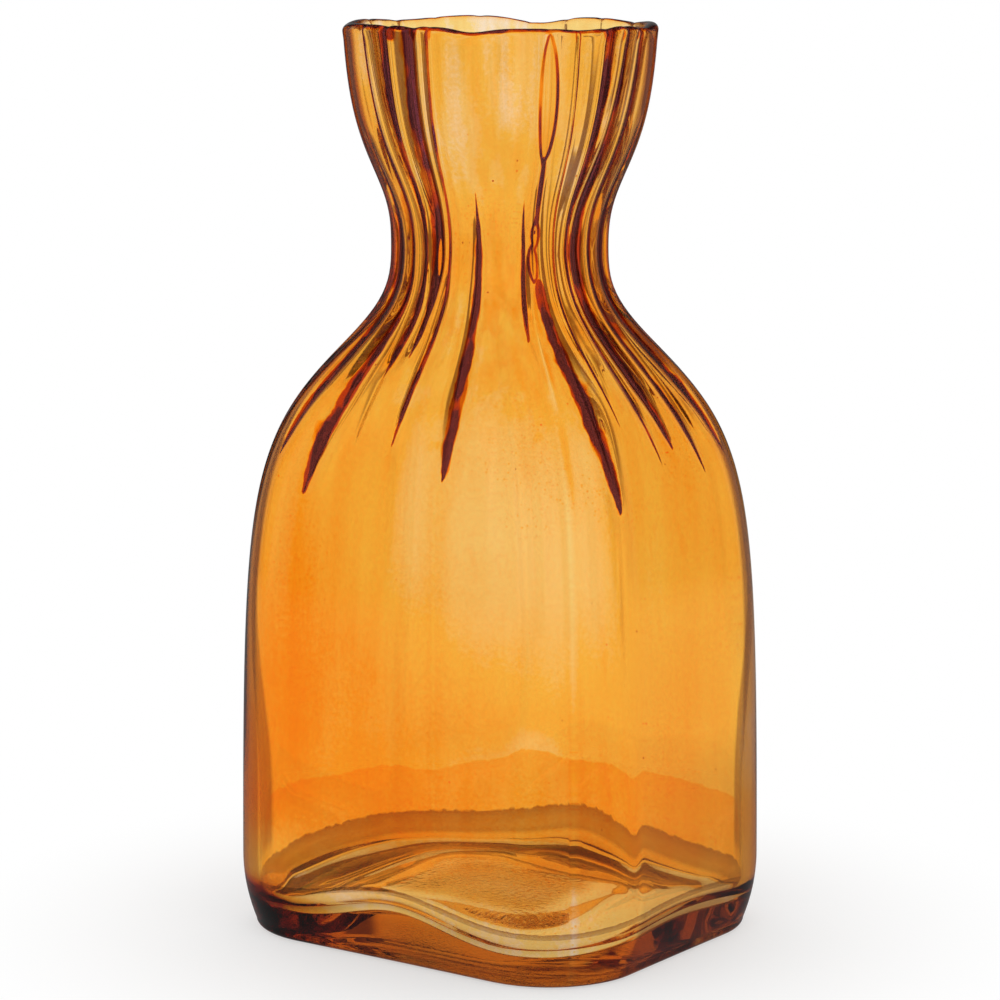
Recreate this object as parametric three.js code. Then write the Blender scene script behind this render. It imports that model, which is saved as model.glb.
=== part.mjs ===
// Flower vase of amber glass, moulded in the shape of a cloth sack that is gathered at the neck:
// a four-sided body with rounded corners, a pleated shoulder, a pleated neck and a thin polished rim.
// Millimetres, +Z up. The origin is the middle of the foot, on the surface that the vase stands on.
// X runs along the wider pair of faces.
// The glass is one piece. Each mesh here is one zone of it, and neighbours meet on a level cut.

import * as THREE from "three";
import { LoftGeometry } from "three/addons/geometries/LoftGeometry.js";
import { mergeVertices } from "three/addons/utils/BufferGeometryUtils.js";

// Driving dimensions: outer plan of the body, the waist and the rim
const BODY_WIDTH = 102;
const BODY_DEPTH = 87;
const BODY_CORNER = 24;
const WAIST_WIDTH = 47;
const WAIST_DEPTH = 41;
const WAIST_CORNER = 18.5;
const RIM_WIDTH = 67.5;
const RIM_DEPTH = 58;
const RIM_CORNER = 26;

// Heights of the zones above one another
const BODY_HEIGHT = 86;
const SHOULDER_HEIGHT = 66;
const NECK_HEIGHT = 42;
const RIM_HEIGHT = 6;

// The drop below the waist, and the rise above it, at which the glass has opened half way out,
// and how sharply it opens there
const SHOULDER_HALF_DROP = 28.8;
const SHOULDER_SHARPNESS = 2.9;
const NECK_HALF_RISE = 21;
const NECK_SHARPNESS = 2.8;

// Glass thickness of the walls, how much sharper the body's corners are inside, which thins them there,
// and the heights between which that begins and is complete
const BODY_WALL = 3.5;
const NECK_WALL = 3;
const CORNER_THIN = 4;
const CORNER_THIN_FROM = 30;
const CORNER_THIN_FULL = 80;

// Foot: how far the heel draws in and from what height, its rounded edge, the flat ring and the hollow in it
const HEEL_INSET = 3.4;
const HEEL_RISE = 16;
const FOOT_EDGE = 1.5;
const FOOT_RING = 9;
const HOLLOW_HEIGHT = 3.5;

// Floor inside: heights at its corners and its middle, swells at the middle of the faces, and the fillet
const FLOOR_CORNER = 6.5;
const FLOOR_MIDDLE = 9.5;
const FLOOR_SWELL_X = 2.5;
const FLOOR_SWELL_Y = 4.5;
const FLOOR_FILLET = 5;
const BASE_LIP = 1;

// Oval groove in the floor: its depth, and its place and half width as shares of the way to the fillet
const FLOOR_RING = 0.9;
const FLOOR_RING_SHARE = 0.7;
const FLOOR_RING_WIDTH = 0.07;

// Creases between the pleats, in order round the vase: turn from +X at the rim, at the waist and low on the
// shoulder in degrees, width at the rim, at the waist and at its widest below it, run below the waist, and
// depth over width. A width below 0 at the rim means that the crease ends on its way up to it.
const CREASES = [
  [-131, -125, -133, -1.5, 2.0, 2.2, 44, 0.3],
  [-121, -113, -120, 0.5, 0.9, 2.8, 52, 0.45],
  [-110, -104, -107, 2.0, 0.6, 1.6, 26, 0.45],
  [-97, -96, -100, 3.0, 3.2, 1.2, 22, 0.42],
  [-87, -86, -94, 0.7, 0.7, 1.3, 40, 0.45],
  [-70, -66, -72, -3.0, 1.3, 2.7, 46, 0.45],
  [-45, -42, -44, -2.0, 0.8, 0.9, 18, 0.45],
  [-36, -35, -25, 0.6, 1.6, 2.9, 52, 0.45],
  [-25, -26, -16, 0.3, 0.4, 0.5, 36, 0.45],
  [-10, -18, -3, 2.6, 0.7, 0.9, 44, 0.42],
  [0, -11, 5, 0.8, 3.0, 2.3, 42, 0.42],
  [9, 0, 15, 1.2, 0.9, 1.1, 48, 0.45],
  [19, 13, 27, -1.5, 2.4, 2.2, 44, 0.4],
  [34, 31, 40, -1.0, 1.6, 1.8, 40, 0.4],
  [54, 50, 56, 1.8, 3.6, 4.0, 48, 0.3],
  [74, 70, 74, 1.2, 2.8, 2.6, 36, 0.3],
  [92, 88, 90, 1.8, 3.6, 4.0, 52, 0.3],
  [112, 108, 108, 1.2, 2.8, 2.6, 34, 0.28],
  [134, 134, 134, 1.6, 3.4, 3.8, 46, 0.3],
  [152, 154, 154, 1.2, 2.8, 2.6, 34, 0.28],
  [171, 173, 172, 1.8, 3.6, 4.0, 50, 0.3],
  [188, 191, 188, 1.2, 2.8, 3.0, 38, 0.3],
  [204, 207, 203, -1.0, 1.8, 2.2, 46, 0.36],
  [217, 221, 216, -1.0, 1.2, 1.6, 38, 0.4],
];

// The drop over which a crease swings to its foot, the share of its run at which it is widest, the sharpness
// of its point, the half width of its bell over its width, and the narrowest bend that the glass takes
const CREASE_SLIDE = 50;
const CREASE_WIDEST = 0.65;
const CREASE_POINT = 0.8;
const CREASE_BELL = 0.75;
const CREASE_LEAST = 0.9;

// On the inside the creases are shallower and wider, and on the rim they make it dip
const CREASE_INSIDE = 0.3;
const CREASE_SOFTER = 1.5;
const RIM_DIP = 0.35;

// Dips in the rim: turn from +X in degrees, depth, half width in degrees
const RIM_DIPS = [
  [-66, 0.9, 9],
  [-22, 0.5, 10],
  [14, 0.7, 9],
  [56, 0.6, 12],
  [108, 1.6, 15],
  [165, 0.8, 18],
  [212, 0.6, 12],
];

// How finely the curved surfaces are stepped
const STEPS_PER_PLEAT = 4;
const HEEL_STEPS = 3;
const BODY_STEPS = 4;
const SHOULDER_STEPS = 10;
const NECK_STEPS = 6;
const LIP_STEPS = 6;
const FILLET_STEPS = 2;
const HOLLOW_SHARES = [0, 0.5, 0.8, 1];
const FLOOR_SHARES = [0.8, 0.7, 0.6, 0.4, 0];

// How far the columns of points crowd towards the creases, 0 for evenly spaced ones
const COLUMN_CROWDING = 0.6;

// How squarely the hollow and the floor keep their level before they bend at the edge
const HOLLOW_POWER = 4;
const FLOOR_POWER = 3;

const AMBER = 0xe0962a;

const WAIST = BODY_HEIGHT + SHOULDER_HEIGHT;
const RIM_BASE = WAIST + NECK_HEIGHT;
const TOP = RIM_BASE + RIM_HEIGHT;
const BASE_TOP = FLOOR_CORNER + Math.max(FLOOR_SWELL_X, FLOOR_SWELL_Y) + FLOOR_FILLET + BASE_LIP;
const COLUMNS = CREASES.length * STEPS_PER_PLEAT;

const BODY_PLAN = { width: BODY_WIDTH, depth: BODY_DEPTH, corner: BODY_CORNER };
const WAIST_PLAN = { width: WAIST_WIDTH, depth: WAIST_DEPTH, corner: WAIST_CORNER };
const RIM_PLAN = { width: RIM_WIDTH, depth: RIM_DEPTH, corner: RIM_CORNER };

const { lerp, clamp, degToRad, smoothstep } = THREE.MathUtils;

// The same plan moved inwards all round by a distance
function inset(plan, distance) {
  return {
    width: plan.width - 2 * distance,
    depth: plan.depth - 2 * distance,
    corner: Math.max(plan.corner - distance, 0),
  };
}

// Distance from the axis to the edge of a plan, a rounded rectangle, in the direction of a turn
function reach(plan, turn) {
  const c = Math.abs(Math.cos(turn));
  const s = Math.abs(Math.sin(turn));
  const corner = Math.min(plan.corner, plan.width / 2, plan.depth / 2);
  const x = plan.width / 2 - corner;
  const y = plan.depth / 2 - corner;
  if (s * (x + corner) <= c * y) {
    return (x + corner) / c;
  }
  if (c * (y + corner) <= s * x) {
    return (y + corner) / s;
  }
  const along = x * c + y * s;
  return along + Math.sqrt(along * along - x * x - y * y + corner * corner);
}

// S-shaped share from 0 at the waist towards 1 far from it, a half at the given distance
function opening(distance, half, sharpness) {
  return distance ** sharpness / (half ** sharpness + distance ** sharpness);
}

// Share of the way from the waist out to the body below it or the rim above it
function openedAt(z) {
  if (z <= WAIST) {
    const whole = opening(WAIST - HEEL_RISE, SHOULDER_HALF_DROP, SHOULDER_SHARPNESS);
    return opening(WAIST - z, SHOULDER_HALF_DROP, SHOULDER_SHARPNESS) / whole;
  }
  const whole = opening(TOP - WAIST, NECK_HALF_RISE, NECK_SHARPNESS);
  return opening(Math.min(z, TOP) - WAIST, NECK_HALF_RISE, NECK_SHARPNESS) / whole;
}

// Outer plan at a height, without the heel and the pleats
function planAt(z) {
  const far = z <= WAIST ? BODY_PLAN : RIM_PLAN;
  const share = Math.min(openedAt(z), 1);
  return {
    width: lerp(WAIST_PLAN.width, far.width, share),
    depth: lerp(WAIST_PLAN.depth, far.depth, share),
    corner: lerp(WAIST_PLAN.corner, far.corner, share),
  };
}

function wallAt(z) {
  return z >= WAIST ? NECK_WALL : lerp(NECK_WALL, BODY_WALL, Math.min(openedAt(z), 1));
}

// Plan of the inner surface at a height, without the pleats
function hollowAt(z) {
  const plan = inset(planAt(z), wallAt(z));
  const below = z >= WAIST ? 0 : Math.min(openedAt(z), 1);
  const sharper = CORNER_THIN * below * smoothstep(z, CORNER_THIN_FROM, CORNER_THIN_FULL);
  return { ...plan, corner: Math.max(plan.corner - sharper, 0) };
}

function heelInset(z) {
  const below = Math.max(HEEL_RISE - z, 0) / HEEL_RISE;
  return HEEL_INSET * below * below;
}

// Share of the way from the waist up to the top
function riseShare(z) {
  return clamp((z - WAIST) / (TOP - WAIST), 0, 1);
}

// Turn of a crease at a height: from the waist up to the rim, and down to its foot
function creaseTurn(crease, z) {
  const [rimTurn, waistTurn, footTurn] = crease;
  const below = lerp(waistTurn, footTurn, clamp((WAIST - z) / CREASE_SLIDE, 0, 1));
  return degToRad(lerp(below, rimTurn, riseShare(z)));
}

// Width of a crease at a height: from the rim to the waist, on to its widest place, then to a point
function creaseWidth(crease, z) {
  const [, , , rimWidth, waistWidth, lowWidth, run] = crease;
  const drop = clamp((WAIST - z) / run, 0, 1);
  const taper = clamp((1 - drop) / (1 - CREASE_WIDEST), 0, 1) ** CREASE_POINT;
  const below = lerp(waistWidth, lowWidth, smoothstep(drop, 0, CREASE_WIDEST)) * taper;
  return Math.max(lerp(below, rimWidth, riseShare(z)), 0);
}

// The angle from one turn to another, the short way round
function turnBetween(from, to) {
  return Math.atan2(Math.sin(to - from), Math.cos(to - from));
}

// Depth of all creases together at a turn and height: a bell for each, in proportion to its width
function creaseDepth(turn, z, widen = 1) {
  const plan = planAt(z);
  const radius = (plan.width + plan.depth) / 4;
  let depth = 0;
  for (const crease of CREASES) {
    const width = creaseWidth(crease, z);
    const spread = widen * Math.max(CREASE_BELL * width, CREASE_LEAST);
    const away = (turnBetween(creaseTurn(crease, z), turn) * radius) / spread;
    depth += crease[7] * width * Math.exp(-away * away);
  }
  return depth;
}

// How far the rim lies below its highest level at a turn, without the creases
function rimDips(turn) {
  let drop = 0;
  for (const [place, depth, half] of RIM_DIPS) {
    const away = turnBetween(degToRad(place), turn) / degToRad(half);
    drop += depth * Math.exp(-away * away);
  }
  return drop;
}

function outerReach(turn, z) {
  return reach(inset(planAt(z), heelInset(z)), turn) - creaseDepth(turn, z);
}

function innerReach(turn, z) {
  return reach(hollowAt(z), turn) - CREASE_INSIDE * creaseDepth(turn, z, CREASE_SOFTER);
}

// Turn of one column of the surface at a height: the columns run along the creases and between them,
// and crowd towards the creases by a sine
function columnTurn(column, z) {
  const index = Math.floor(column / STEPS_PER_PLEAT);
  const here = creaseTurn(CREASES[index], z);
  const next = creaseTurn(CREASES[(index + 1) % CREASES.length], z);
  const wrap = index + 1 < CREASES.length ? 0 : 2 * Math.PI;
  const even = (column % STEPS_PER_PLEAT) / STEPS_PER_PLEAT;
  const share = even - (COLUMN_CROWDING * Math.sin(2 * Math.PI * even)) / (2 * Math.PI);
  return lerp(here, next + wrap, share);
}

// One closed ring of points: pointAt gives the distance from the axis and the height at a turn
function ring(z, pointAt) {
  const points = [];
  for (let column = 0; column < COLUMNS; column += 1) {
    const turn = columnTurn(column, z);
    const [distance, height] = pointAt(turn);
    points.push(new THREE.Vector3(distance * Math.cos(turn), distance * Math.sin(turn), height));
  }
  return points;
}

const outerRing = (z) => ring(z, (turn) => [outerReach(turn, z), z]);
const innerRing = (z) => ring(z, (turn) => [innerReach(turn, z), z]);

// Evenly spaced heights from one level to another, both included
function levels(from, to, steps) {
  return Array.from({ length: steps + 1 }, (_, step) => lerp(from, to, step / steps));
}

// Closed surface through rings, with points that coincide joined and triangles of no area left out
function loft(rings) {
  const surface = new LoftGeometry(rings);
  const bare = new THREE.BufferGeometry();
  bare.setAttribute("position", surface.getAttribute("position"));
  bare.setIndex(surface.getIndex());
  const joined = mergeVertices(bare);
  const corners = joined.getIndex().array;
  const kept = [];
  for (let i = 0; i < corners.length; i += 3) {
    const [a, b, c] = [corners[i], corners[i + 1], corners[i + 2]];
    if (a !== b && b !== c && c !== a) {
      kept.push(a, b, c);
    }
  }
  joined.setIndex(kept);
  joined.computeVertexNormals();
  return joined;
}

// A zone of wall between two level cuts: up the outside and down the inside
function wallZone(from, to, steps) {
  const heights = levels(from, to, steps);
  const rings = [...heights.map(outerRing), ...heights.toReversed().map(innerRing)];
  return loft([...rings, rings[0]]);
}

// Height of the floor where it meets the fillet: lowest in the corners, swollen along the faces
function floorEdge(turn) {
  const swell = FLOOR_SWELL_X * Math.cos(turn) ** 2 + FLOOR_SWELL_Y * Math.sin(turn) ** 2;
  return FLOOR_CORNER + swell * Math.cos(2 * turn) ** 2;
}

// Fillet between the floor and the wall, at an angle down from the wall
function filletRing(angle) {
  return ring(BASE_TOP, (turn) => {
    const distance = innerReach(turn, BASE_TOP) - FLOOR_FILLET * (1 - Math.cos(angle));
    return [distance, floorEdge(turn) + FLOOR_FILLET * (1 - Math.sin(angle))];
  });
}

// The floor, at a share of the way from its middle out to the fillet
function floorRing(share) {
  return ring(BASE_TOP, (turn) => {
    const distance = share * (innerReach(turn, BASE_TOP) - FLOOR_FILLET);
    const groove = FLOOR_RING * Math.exp(-(((share - FLOOR_RING_SHARE) / FLOOR_RING_WIDTH) ** 2));
    return [distance, lerp(FLOOR_MIDDLE, floorEdge(turn), share ** FLOOR_POWER) - groove];
  });
}

// The domed hollow in the underside, at a share of the way from its middle out to the foot ring
function hollowRing(share) {
  const edge = inset(planAt(0), HEEL_INSET + FOOT_RING);
  return ring(0, (turn) => [share * reach(edge, turn), HOLLOW_HEIGHT * (1 - share ** HOLLOW_POWER)]);
}

// Rounded edge between the foot ring and the heel, at an angle up from the ring
function footEdgeRing(angle) {
  return ring(0, (turn) => {
    const drawnIn = FOOT_EDGE * (1 - Math.sin(angle));
    return [outerReach(turn, FOOT_EDGE) - drawnIn, FOOT_EDGE * (1 - Math.cos(angle))];
  });
}

function baseZone() {
  const quarter = levels(0, Math.PI / 2, FILLET_STEPS);
  return loft([
    ...HOLLOW_SHARES.map(hollowRing),
    ...quarter.map(footEdgeRing),
    ...levels(FOOT_EDGE, BASE_TOP, HEEL_STEPS).slice(1).map(outerRing),
    innerRing(BASE_TOP),
    ...quarter.map(filletRing),
    ...FLOOR_SHARES.map(floorRing),
  ]);
}

// The rim's rounded lip, at an angle over from the outside, lower where a crease meets it
function lipRing(angle) {
  return ring(TOP, (turn) => {
    const outer = outerReach(turn, TOP);
    const inner = innerReach(turn, TOP);
    const half = (outer - inner) / 2;
    const middle = (outer + inner) / 2;
    const crest = TOP - RIM_DIP * creaseDepth(turn, TOP) - rimDips(turn);
    return [middle + half * Math.cos(angle), crest - half * (1 - Math.sin(angle))];
  });
}

function rimZone() {
  const lip = levels(0, Math.PI, LIP_STEPS).map(lipRing);
  const foot = outerRing(RIM_BASE);
  return loft([foot, ...lip, innerRing(RIM_BASE), foot]);
}

function glassMesh(name, geometry) {
  const material = new THREE.MeshStandardMaterial({ color: AMBER, roughness: 0.05, metalness: 0 });
  const mesh = new THREE.Mesh(geometry, material);
  mesh.name = name;
  return mesh;
}

const vase = new THREE.Group();
vase.add(glassMesh("base", baseZone()));
vase.add(glassMesh("body", wallZone(BASE_TOP, BODY_HEIGHT, BODY_STEPS)));
vase.add(glassMesh("shoulder", wallZone(BODY_HEIGHT, WAIST, SHOULDER_STEPS)));
vase.add(glassMesh("neck", wallZone(WAIST, RIM_BASE, NECK_STEPS)));
vase.add(glassMesh("rim", rimZone()));

export default vase;
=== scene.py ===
import math

import bpy
import numpy as np
from bpy.props import FloatProperty, FloatVectorProperty, PointerProperty
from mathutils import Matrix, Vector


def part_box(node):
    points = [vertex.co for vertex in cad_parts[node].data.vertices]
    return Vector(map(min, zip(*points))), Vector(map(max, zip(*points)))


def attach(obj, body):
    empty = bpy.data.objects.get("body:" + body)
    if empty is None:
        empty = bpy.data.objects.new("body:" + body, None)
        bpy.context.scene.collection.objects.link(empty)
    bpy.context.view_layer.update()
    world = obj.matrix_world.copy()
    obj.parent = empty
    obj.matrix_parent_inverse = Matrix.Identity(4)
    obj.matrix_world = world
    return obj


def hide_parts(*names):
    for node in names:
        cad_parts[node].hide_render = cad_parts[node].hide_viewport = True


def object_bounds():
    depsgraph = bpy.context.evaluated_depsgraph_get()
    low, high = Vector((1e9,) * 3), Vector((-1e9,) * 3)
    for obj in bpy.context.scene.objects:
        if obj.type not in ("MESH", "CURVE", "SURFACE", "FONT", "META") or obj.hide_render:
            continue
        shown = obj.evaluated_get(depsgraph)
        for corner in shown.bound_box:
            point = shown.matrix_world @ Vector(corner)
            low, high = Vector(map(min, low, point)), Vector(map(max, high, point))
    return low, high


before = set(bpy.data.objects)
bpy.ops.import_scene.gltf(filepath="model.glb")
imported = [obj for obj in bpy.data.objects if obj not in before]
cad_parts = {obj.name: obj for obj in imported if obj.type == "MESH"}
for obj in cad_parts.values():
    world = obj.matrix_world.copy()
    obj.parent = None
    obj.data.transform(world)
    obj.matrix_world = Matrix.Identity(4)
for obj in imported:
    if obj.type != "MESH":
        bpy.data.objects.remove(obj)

bl_info = {
    "name": "Amber sack vase",
    "version": (1, 0, 0),
    "blender": (4, 5, 0),
    "location": "3D View > Sidebar > Vase",
    "description": "A moulded amber glass vase in the shape of a gathered sack, with its studio stage",
    "category": "Add Mesh",
}

MM = 0.001
CAD_BOX = [list(corner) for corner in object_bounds()]
NECK_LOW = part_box("neck")[0]

# Creases between the pleats, in order round the vase: turn from +X at the rim, at the waist and low
# on the shoulder in degrees, width at the rim, at the waist and at its widest below it and run below
# the waist in millimetres, depth over width, and how dark the painted shade along it is
CREASES = np.array([
    (-131, -125, -133, -1.5, 2.0, 2.2, 44, 0.3, 1.0),
    (-121, -113, -120, 0.5, 0.9, 2.8, 52, 0.45, 1.0),
    (-110, -104, -107, 2.0, 0.6, 1.6, 26, 0.45, 1.0),
    (-97, -96, -100, 3.0, 3.2, 1.2, 22, 0.42, 1.0),
    (-87, -86, -94, 0.7, 0.7, 1.3, 40, 0.45, 1.0),
    (-70, -66, -72, -3.0, 1.3, 2.7, 46, 0.45, 1.0),
    (-45, -42, -44, -2.0, 0.8, 0.9, 18, 0.45, 1.0),
    (-36, -35, -25, 0.6, 1.6, 2.9, 52, 0.45, 1.0),
    (-25, -26, -16, 0.3, 0.4, 0.5, 36, 0.45, 0.8),
    (-10, -18, -3, 2.6, 0.7, 0.9, 44, 0.42, 1.0),
    (0, -11, 5, 0.8, 3.0, 2.3, 42, 0.42, 1.0),
    (9, 0, 15, 1.2, 0.9, 1.1, 48, 0.45, 1.0),
    (19, 13, 27, -1.5, 2.4, 2.2, 44, 0.4, 1.0),
    (34, 31, 40, -1.0, 1.6, 1.8, 40, 0.4, 0.7),
    (54, 50, 56, 1.8, 3.6, 4.0, 48, 0.3, 0.0),
    (74, 70, 74, 1.2, 2.8, 2.6, 36, 0.3, 0.0),
    (92, 88, 90, 1.8, 3.6, 4.0, 52, 0.3, 0.0),
    (112, 108, 108, 1.2, 2.8, 2.6, 34, 0.28, 0.0),
    (134, 134, 134, 1.6, 3.4, 3.8, 46, 0.3, 0.0),
    (152, 154, 154, 1.2, 2.8, 2.6, 34, 0.28, 0.0),
    (171, 173, 172, 1.8, 3.6, 4.0, 50, 0.3, 0.0),
    (188, 191, 188, 1.2, 2.8, 3.0, 38, 0.3, 0.0),
    (204, 207, 203, -1.0, 1.8, 2.2, 46, 0.36, 0.7),
    (217, 221, 216, -1.0, 1.2, 1.6, 38, 0.4, 0.7),
])

# Loops of painted shade along a crease, dark lines with little of it inside: number of the crease,
# shift along the wall, lowest and highest level and half width in millimetres
LOOPS = np.array([
    (7, -0.2, 172, 198.6, 1.7),
    (7, 0.0, 158, 173, 0.2),
    (7, -0.3, 153.5, 159, 0.8),
    (7, -0.9, 146, 154, 1.0),
    (3, 0.3, 146, 155, 1.0),
])

# Dips in the rim: turn from +X in degrees, depth in millimetres and half width in degrees
RIM_DIPS = np.array([
    (-66, 0.9, 9),
    (-22, 0.5, 10),
    (14, 0.7, 9),
    (56, 0.6, 12),
    (108, 1.6, 15),
    (165, 0.8, 18),
    (212, 0.6, 12),
])

# Form of the shoulder, the neck, the creases, the rim, the hollow and the floor
SHOULDER_SHARPNESS = 2.9
NECK_SHARPNESS = 2.8
CREASE_WIDEST = 0.65
CREASE_POINT = 0.8
CREASE_BELL = 0.75
CREASE_INSIDE = 0.3
CREASE_SOFTER = 1.5
RIM_DIP = 0.35
HOLLOW_POWER = 4
FLOOR_POWER = 3
FLOOR_RING_SHARE = 0.7
FLOOR_RING_WIDTH = 0.07
FILLET_CLEAR = 1 * MM

# Columns round the vase, and the finer ones beside the two joint lines of the mould
STEPS_PER_PLEAT = 13
COLUMN_CROWDING = 0.6
SEAM_TURNS = (-38.5, 141.5)
SEAM_STEPS = (-0.12, -0.06, -0.03, -0.015, 0, 0.015, 0.03, 0.06, 0.12)
SEAM_CLEAR = 0.02

# Rows of each part of the surface, how far under the top the straight walls end, and the shares of
# the underside and the floor at which their rows end in a pole
QUARTER_ROWS = 8
LIP_ROWS = 15
HOLLOW_ROWS = 16
FLOOR_ROWS = 24
OUTSIDE_ROWS = 132
INSIDE_ROWS = 88
LIP_DROP = 4 * MM
HOLLOW_POLE = 0.08
FLOOR_POLE = 0.06

# Layers of numbers on the surface that the glass reads, and what they hold where nothing is worked out
FAR_OFF = 200.0
LAYERS = {
    "coat": 0.0, "streak_shade": 0.0, "below_back_line": -FAR_OFF, "fillet_shade_level": FAR_OFF,
    "stipple": 0.0, "loops": FAR_OFF, "upright": 0.0, "foot": 0.0,
}

# Patches on the outside: turn from +X and half width in degrees, and the levels in millimetres
# between which it comes in
# The neck's two sides, seen edge-on from the camera, get painted shade
LEFT_FLANK = (-144, 9, 125, 145)
RIGHT_FLANK = (34, 9, 125, 145)
FOOT_BACK = (118, 16, 34, 26)
# Places of the painted shade on the front of the foot and, darker, at the heel's left corner
FOOT_FRONT = (-85, 45, 13, 9)
HEEL_CORNER = (-134, 22, 13, 9)
BODY_CORNERS = ((-144, 14, 20, 40), (36, 14, 20, 40))

# Strength of the coat in these patches, where on the neck's two sides and at the heel's corner it is
# painted shade, where the body's corners end, and how much stronger the painted shade on the left
# flank is at a level and half height in millimetres
COAT_AND_SHADE_PATCHES = ((2.4, LEFT_FLANK), (3.2, RIGHT_FLANK), (-0.8, FOOT_BACK), (3.6, HEEL_CORNER))
CORNER_COAT = -0.6
CORNER_END = (125, 105)
FLANK_SHADE = 1.2
FLANK_LEVEL = (152, 16)

# Levels between which the coat turns from the body's to the rim's, as shares of the height, and gets
# thinner towards the foot and along the seams, in millimetres
RIM_LEVELS = (0.5, 0.9)
FOOT_LEVELS = (30, 16)
SEAM_LEVELS = (150, 130)

# Broad swellings of the coat: strength, level and half height in millimetres, turn from +X in degrees,
# power of the cosine round it, and the levels between which it comes in: the waist all round, low on
# the left, and the middle of the front toward the camera, made paler as painted soft light
COAT_SWELLS_AND_PAINTED_LIGHT = (
    (0.3, 138, 18, 0, 0, -40, -20),
    (0.9, 45, 35, -115, 2, 12, 32),
    # Painted soft light: a paler middle on the face toward the camera
    (-1.05, 95, 35, -55, 8, -40, -20),
)

# Painted shade in trails below the creases: how far they rise and fall from the point, half width,
# the width of crease that gives a full one, and strength
TAIL_RISE = 14 * MM
TAIL_FALL = 40 * MM
TAIL_HALF = 3.5 * MM
TAIL_CREASE = 2.5 * MM
TAIL_SHADE = 0.4

# Painted shade along the creases, as a dark line on the crest of the lip and round the loops
STREAK_SHADE_BELL = 0.6
STREAK_SHADE_LEAST = 0.15 * MM
STREAK_SHADE_WIDEST = 0.75
STREAK_SHADE_POINT = 0.5
LIP_LINE = 0.1
LIP_SHADE = 0.78
LIP_TURN = 0.7 * math.pi
LOOP_CREASE = 7
LOOP_LEVEL = 144 * MM
LOOP_FADE = 5 * MM
LOOP_ROUND = 0.5
FRINGE_SHARE = 0.55
LINE_LEAST = 0.25
LINE_MOST = 1.1

# The mould's joint line in the coat, bare on its crest and deeper beside it
SEAM_BARE = 0.9
SEAM_DEEP = 0.7

# The back, the wavy line below which its amber is deeper, in millimetres, with a tongue at a turn and
# half width in degrees, and the line up to which the fillet gets painted shade
BACK_TURN = 125.6
BACK_EDGE = 0.2
BACK_LINE_LEVEL = 27
BACK_LINE_WAVES = 6
BACK_LINE_TONGUE = 5.5
TONGUE_TURN = (140, 13)
BACK_LINE_FRONT = 30
# Painted shade in a band in the fillet, broad at the back and a thin line on the front
FILLET_SHADE_LINE = 5.5
FILLET_SHADE_FRONT = 4
EDGE_WOBBLE = 2.0

# Painted shade in the foot, and the stipple in its middle
FOOT_SHADE = 0.55
FOOT_CORNER_SHADE = 0.7
STIPPLE_EDGE = 0.5
STIPPLE_FADE = 0.1
STIPPLE_FLOOR_FADE = 0.15
STIPPLE_SHINE = 0.6
STIPPLE_COAT = 0.8
STIPPLE_BUMP = 0.2
STIPPLE_DEPTH = 0.4 * MM

# Colours of the coat by its strength: powers of one layer's colour first, then the painted shade's dark
# colours
COAT_RANGE = 8
COAT_STOPS = (0, 1, 2, 3)
DARK_SHADE_STOPS = ((4, "#c8501e"), (5, "#a84440"), (6, "#70385c"), (8, "#3c2c48"))
# Painted shade at the edges: the coat is stronger where the surface turns away from the eye, partly for
# the longer slant way
COAT_EDGE = 0.3
COAT_EDGE_POWER = 3.0
GLASS_IOR = 1.52
SPECK_GAP = 8 * MM
SEED_GAP = 1.3 * MM

# Noise in the glass: size of its grain in millimetres, detail, and scale along the height
NOISES = {
    "cloud": (45, 2, 1),
    "wavy_edge": (3, 4, 1),
    "grain": (0.9, 2, 1),
    "wash": (6, 2, 0.1),
    "ragged": (4, 3, 1),
    "drift": (5, 2, 0.3),
    "band_edge": (2, 4, 1),
    "dots": (1.2, 1, 1),
}

# Ranges in the materials: start and end of the number that is read, and what they turn into, where
# that isn't 0 and 1 and isn't given by the look
RANGE_KEYS = ("From_Min", "From_Max", "To_Min", "To_Max")
RANGE_ROWS = {
    "uneven": (0.3, 0.7, 0.85, 1.15),
    "speckle": (0.3, 0.7, 0.9, 1.1),
    "swing": (0.3, 0.7, -1.0, 1.0),
    "band": (90 * MM, 140 * MM, 0.1, 0.35),
    "run": (1.6, 2.2),
    "speck": (0.034, 0.02, 0.0, 3.0),
    "seed": (0.24, 0.12, 0.0, 0.6),
    "crowd": (0.52, 0.62),
    "fray": (0.3, 0.7, -0.12, 0.12),
    "fringe": (0.3, 0.5),
    "wander": (0.3, 0.7, -0.55, 0.55),
    "core": (0.5, 0.85),
    "bare": (-0.4, 0.0, 0.1),
    "line": (0.45, 0.15),
    "heavy": (0.35, 0.65),
    "held": (0.0, -0.5, 0.0, 0.7),
    "under": (FILLET_SHADE_LINE + 1.3, FILLET_SHADE_LINE + 0.7),
    "over": (0.3, 1.2),
    "deeper": (0.4 * FILLET_SHADE_LINE, FILLET_SHADE_LINE, 0.75),
    "mottle": (0.3, 0.7, 0.4, 0.65),
    # Painted shade: dark lines along the edges
    "thicker": (80 * MM, 35 * MM, 0.0, 0.1),
    "outline": (0.55, 0.63, 0.0, 0.95),
    "grazing": (0.68, 0.8, 0.0, 0.3),
    "floor_seen": (0.04, 0.13, 0.5),
    "floor_through": (0.05, 0.15, 0.75),
    "floor_far": (0.5, 0.9),
    "panel_gap": (-0.1, -0.8),
    "overhead": (0.25, 0.6),
}
RANGES = {name: dict(zip(RANGE_KEYS, row)) for name, row in RANGE_ROWS.items()}

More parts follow.
